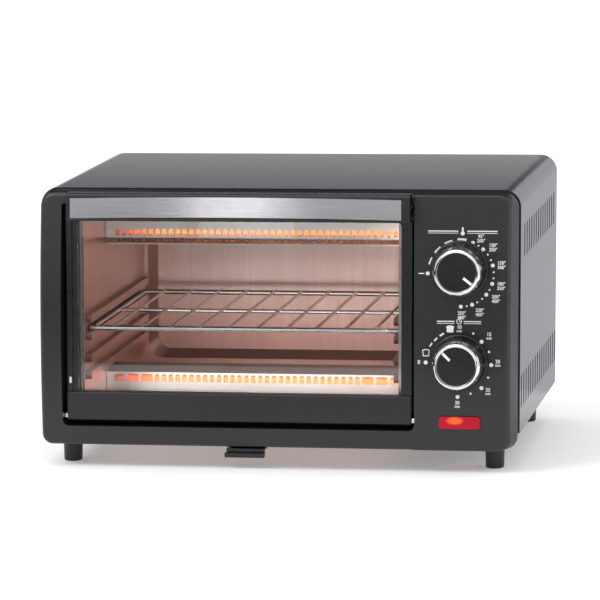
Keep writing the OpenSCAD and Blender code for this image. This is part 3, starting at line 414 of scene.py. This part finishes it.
# -------------------------------------------------------------- new pieces
def piece(name, bm, mat, body, smooth=None):
    me = bpy.data.meshes.new(name)
    bm.normal_update()
    bm.to_mesh(me)
    bm.free()
    me.materials.append(mat)
    o = bpy.data.objects.new(name, me)
    COL.objects.link(o)
    if smooth is not None:
        for p in me.polygons:
            p.use_smooth = True
        me.set_sharp_from_angle(angle=math.radians(smooth))
    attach(o, body)
    return o


def panel_y(z):
    """Depth of the control panel's face at height z, in millimetres from the seam."""
    return -21 + (z - 85) ** 2 / (2 * (4000 if z > 85 else 760))


def on_panel(bm, lift=0.05, deep=0.12):
    """Bends flat artwork, drawn in X-Z millimetres, onto the control panel and gives it a thickness."""
    bmesh.ops.remove_doubles(bm, verts=bm.verts, dist=0.004)
    bm.normal_update()
    for f in bm.faces:
        if f.normal.y > 0:
            f.normal_flip()
    r = bmesh.ops.extrude_face_region(bm, geom=list(bm.faces))
    back = {v for v in r["geom"] if isinstance(v, bmesh.types.BMVert)}
    for v in bm.verts:
        x, z = v.co.x, v.co.z
        y = panel_y(z) - (lift if v in back else -deep)
        v.co = P(x, y, z)
    bm.normal_update()
    bmesh.ops.recalc_face_normals(bm, faces=bm.faces)


def poly(bm, pts):
    vs = [bm.verts.new((p[0], 0, p[1])) for p in pts]
    f = bm.faces.new(vs)
    f.normal_update()
    return f


def disc(bm, x, z, r, n=28):
    poly(bm, [(x + r * math.cos(2 * math.pi * i / n), z + r * math.sin(2 * math.pi * i / n)) for i in range(n)])


def bar(bm, x, z, w, h, deg=0, rr=0.0):
    """A bar w long and h wide, turned deg, with ends rounded by rr."""
    a = math.radians(deg)
    pts = []
    if rr:
        for cx, cz, s in ((w / 2 - rr, h / 2 - rr, 0), (-w / 2 + rr, h / 2 - rr, 90), (-w / 2 + rr, -h / 2 + rr, 180), (w / 2 - rr, -h / 2 + rr, 270)):
            for i in range(5):
                b = math.radians(s + 22.5 * i)
                pts.append((cx + rr * math.cos(b), cz + rr * math.sin(b)))
    else:
        pts = [(w / 2, h / 2), (-w / 2, h / 2), (-w / 2, -h / 2), (w / 2, -h / 2)]
    poly(bm, [(x + px * math.cos(a) - pz * math.sin(a), z + px * math.sin(a) + pz * math.cos(a)) for px, pz in pts])


def arc_bar(bm, cx, cz, r0, r1, a0, a1, n=8):
    pts = [(cx + r1 * math.cos(math.radians(a0 + (a1 - a0) * i / n)), cz + r1 * math.sin(math.radians(a0 + (a1 - a0) * i / n))) for i in range(n + 1)]
    pts += [(cx + r0 * math.cos(math.radians(a1 + (a0 - a1) * i / n)), cz + r0 * math.sin(math.radians(a1 + (a0 - a1) * i / n))) for i in range(n + 1)]
    poly(bm, pts)


def slice_outline(x, z, w, h):
    """Outline of a slice of bread."""
    pts = [(-0.36, -0.5), (0.36, -0.5), (0.42, -0.44), (0.42, 0.06)]
    pts += [(0.34 + 0.15 * math.cos(math.radians(t)), 0.24 + 0.17 * math.sin(math.radians(t))) for t in (-60, -30, 0, 30, 60, 85)]
    pts += [(0.2, 0.47), (0, 0.5), (-0.2, 0.47)]
    pts += [(-0.34 + 0.15 * math.cos(math.radians(t)), 0.24 + 0.17 * math.sin(math.radians(t))) for t in (95, 120, 150, 180, 210, 240)]
    pts += [(-0.42, 0.06), (-0.42, -0.44)]
    return [(x + w * p[0], z + h * p[1]) for p in pts]


def ring_of(bm, outer, inner):
    n = len(outer)
    for i in range(n):
        j = (i + 1) % n
        poly(bm, [outer[i], outer[j], inner[j], inner[i]])


def digits(bm, text, x, z, size, align="CENTER", stretch=1.0):
    """Adds flat lettering made of Blender's own font, in X-Z millimetres."""
    c = bpy.data.curves.new("t", "FONT")
    c.body, c.size, c.align_x, c.align_y, c.resolution_u = text, size, align, "CENTER", 3
    c.offset = size * 0.02
    o = bpy.data.objects.new("t", c)
    COL.objects.link(o)
    bpy.context.view_layer.update()
    me = o.evaluated_get(bpy.context.evaluated_depsgraph_get()).to_mesh()
    vs = [bm.verts.new((x + v.co.x * stretch, 0, z + v.co.y)) for v in me.vertices]
    for p in me.polygons:
        try:
            bm.faces.new([vs[i] for i in p.vertices])
        except ValueError:
            pass
    o.to_mesh_clear()
    bpy.data.objects.remove(o)
    bpy.data.curves.remove(c)


def dial_print():
    bm = bmesh.new()
    tx, tz, r = 140.6, 134.3, 24.6
    pol = lambda cx, cz, a, rr: (cx + rr * math.cos(math.radians(a)), cz + rr * math.sin(math.radians(a)))
    for a in (180, 69, 47.8, 14.8, -17.4, -38.9, -69.4, -89.5):
        disc(bm, *pol(tx, tz, a, r), 1.45)
    for a in (58, 35.7, 24.6, 3, -7.5, -28.8, -49.3, -59.6, -79.2):
        disc(bm, *pol(tx, tz, a, r), 0.72, 18)
    for a, half, w in ((157.5, 6.6, 0.55), (134.5, 7.0, 0.95), (111.5, 7.2, 1.35), (88.3, 7.6, 1.75)):
        arc_bar(bm, tx, tz, r - w, r + w, a - half, a + half)
    for txt, (x, z) in {
        "95°\n200°": (155.6, 160.4), "120°\n250°": (164.6, 153.9), "150°\n300°": (170.9, 140.8), "180°\n350°": (170.8, 125.2),
        "200°\n400°": (167.0, 115.6), "230°\n450°": (155.0, 105.5), "250°\n480°": (141.6, 103.2),
    }.items():
        a, b = txt.split("\n")
        digits(bm, a, x, z + 1.6, 3.6, stretch=0.92)
        digits(bm, b, x, z - 1.7, 3.6, stretch=0.92)
    # a thermometer between two rules, in place of a title
    x, z = 141.9, 165.9
    bar(bm, x, z + 0.7, 1.3, 4.4, 0, 0.62)
    disc(bm, x, z - 1.7, 1.5, 20)
    for s in (-1, 1):
        bar(bm, x + s * 14.6, z, 22.5, 0.75)
        bar(bm, x + s * 14.6, z - 1.5, 22.5, 0.4)
    bar(bm, 111.3, 134.2, 4.2, 0.8)      # least-heat mark
    # timer
    cx, cz, r = 139.2, 66.2, 24.5
    for a in (180 - 3, 45.2, 0, -45.5, -91.5):
        disc(bm, *pol(cx, cz, a, r), 1.5)
    for p in ((150.2, 89.7), (162.0, 76.1), (161.4, 56.7), (148.3, 44.3)):
        disc(bm, *p, 0.85, 18)
    for x, z, a, l, w in ((126.7, 88.6, 33, 3.7, 1.35), (122.1, 84.9, 46, 3.3, 1.2), (118.6, 80.9, 56, 3.2, 1.1)):
        bar(bm, x, z, l, w, a)
    poly(bm, slice_outline(132.9, 93.0, 6.0, 5.3))
    ring_of(bm, slice_outline(114.9, 74.9, 5.8, 5.5), slice_outline(114.9, 74.9, 4.5, 4.2))
    for n, x, z in (("10", 139.8, 94.3), ("15", 162.0, 89.1), ("20", 168.6, 68.8), ("25", 161.3, 47.3), ("30", 138.3, 37.2)):
        digits(bm, n, x, z, 3.7, stretch=0.95)
        digits(bm, "min", x, z - 2.85, 2.9, stretch=0.95)
    digits(bm, "0", 109.6, 67.6, 4.2, stretch=0.95)
    # a clock face between two rules, in place of a title
    x, z = 139.6, 98.6
    o = [pol(x, z, i * 15, 2.1) for i in range(24)]
    ring_of(bm, o, [pol(x, z, i * 15, 1.6) for i in range(24)])
    bar(bm, x, z + 0.6, 0.45, 1.4)
    bar(bm, x + 0.45, z, 1.2, 0.45)
    for s in (-1, 1):
        bar(bm, x + s * 10, z, 13, 0.75)
        bar(bm, x + s * 10, z - 1.5, 13, 0.4)
    on_panel(bm)
    piece("dial_print", bm, M["ink"], "oven")


dial_print()


# -------------------------------------------------- smooth the CAD's shading
for n, o in N.items():
    if o.hide_render:
        continue
    for p in o.data.polygons:
        p.use_smooth = True
    if n in ("front_bezel", "rear_panel", "cavity_back", "internal_wires", "door_handle", "temperature_knob", "timer_knob"):
        pass

# ------------------------------------------------------------------- studio
def stage_plane(name, size, loc, mat, rot=(0, 0, 0)):
    me = bpy.data.meshes.new(name)
    s = size
    me.from_pydata([(-s, -s, 0), (s, -s, 0), (s, s, 0), (-s, s, 0)], [], [(0, 1, 2, 3)])
    me.materials.append(mat)
    o = bpy.data.objects.new(name, me)
    o.location, o.rotation_euler = loc, rot
    COL.objects.link(o)
    return o


fl = Tree("floor")
fl.set(Roughness=0.9, Specular_IOR_Level=0.2)
fl.l(fl.mix(fl.rng(fl.noise(3, 2), 0.3, 0.7), (0.84, 0.84, 0.845, 1), (0.86, 0.86, 0.865, 1)), fl.b.inputs["Base Color"])
fl.set(Emission_Color=(1, 1, 1, 1), Emission_Strength=0.22)
stage_plane("floor", 14, (0, 0, 0), fl.m)

fc = Tree("flag")
fc.set(Roughness=0.9, Specular_IOR_Level=0.0)
fc.l(fc.mix(fc.rng(fc.noise(3, 2), 0.3, 0.7), (0.020, 0.020, 0.022, 1), (0.026, 0.026, 0.028, 1)), fc.b.inputs["Base Color"])


def card(name, x0, x1, z0, z1, y, mat):
    """An upright card outside the picture that only reflections see."""
    me = bpy.data.meshes.new(name)
    me.from_pydata([(x0, y, z0), (x1, y, z0), (x1, y, z1), (x0, y, z1)], [], [(0, 1, 2, 3)])
    me.materials.append(mat)
    o = bpy.data.objects.new(name, me)
    COL.objects.link(o)
    o.visible_camera = o.visible_shadow = o.visible_diffuse = o.visible_transmission = False
    return o


def glow(name, level, colour=(1.0, 0.985, 1.0, 1)):
    t = Tree(name)
    t.set(Base_Color=(0.05, 0.05, 0.05, 1), Roughness=0.9, Specular_IOR_Level=0.0, Emission_Color=colour)
    t.l(t.rng(t.noise(3, 2), 0.3, 0.7, level * 0.95, level * 1.05), t.b.inputs["Emission Strength"])
    return t.m


card("rear_flag", -2.2, 1.6, 0.312, 2.2, 0.75, fc.m)
card("front_low", -1.4, 1.2, -0.02, 0.112, -0.55, fc.m)
card("front_mid", -1.4, 1.2, 0.112, 0.30, -0.552, glow("grey_card", 0.90))
card("front_high", -1.4, 1.2, 0.30, 1.2, -0.554, glow("dim_card", 1.3))
card("side_card", 0.186, 1.6, -0.02, 0.30, 0.24, glow("side_card", 0.78, (0.95, 0.955, 1.04, 1)))
card("strip_card", -0.151, -0.068, 0.114, 0.20, -0.54, glow("bright_card", 2.3))

world = bpy.data.worlds.new("studio")
SC.world = world
world.use_nodes = True
bg = world.node_tree.nodes["Background"]
bg.inputs[0].default_value = (1.0, 1.0, 1.0, 1)
bg.inputs[1].default_value = 0.84


def area(name, loc, target, size, power, colour=(1, 1, 1), size_y=None):
    l = bpy.data.lights.new(name, "AREA")
    l.energy, l.color, l.shape = power, colour, "RECTANGLE"
    l.size, l.size_y = size, size_y or size
    o = bpy.data.objects.new(name, l)
    o.location = loc
    o.rotation_euler = (Vector(target) - Vector(loc)).to_track_quat("-Z", "Y").to_euler()
    o.visible_camera = False
    COL.objects.link(o)
    return o


area("top_box", (-0.25, -0.1, 1.6), (0, 0, 0.1), 1.3, 6)
area("right_box", (1.5, 0.1, 0.7), (0.18, 0.0, 0.1), 1.0, 3)
# light from the heaters, spread inside the cooking space
area("inside_back", tuple(P(-30, 12, 42)), tuple(P(-30, 185, 58)), 0.21, 0.075, (1.0, 0.92, 0.90), 0.04)
area("inside_left", tuple(P(82, 34, 112)), tuple(P(-150, 70, 100)), 0.06, 0.075, (1.0, 0.84, 0.70), 0.08)
sun = bpy.data.lights.new("key", "SUN")
sun.energy, sun.angle = 1.15, math.radians(22)
key = bpy.data.objects.new("key", sun)
key.rotation_euler = (Vector((0, 0, 0)) - Vector((-1.0, -0.75, 1.35))).to_track_quat("-Z", "Y").to_euler()
key.visible_camera = False
COL.objects.link(key)

SC.view_settings.view_transform = "Standard"
SC.view_settings.look = "None"
SC.view_settings.exposure = 0.0
SC.view_settings.gamma = 1.0
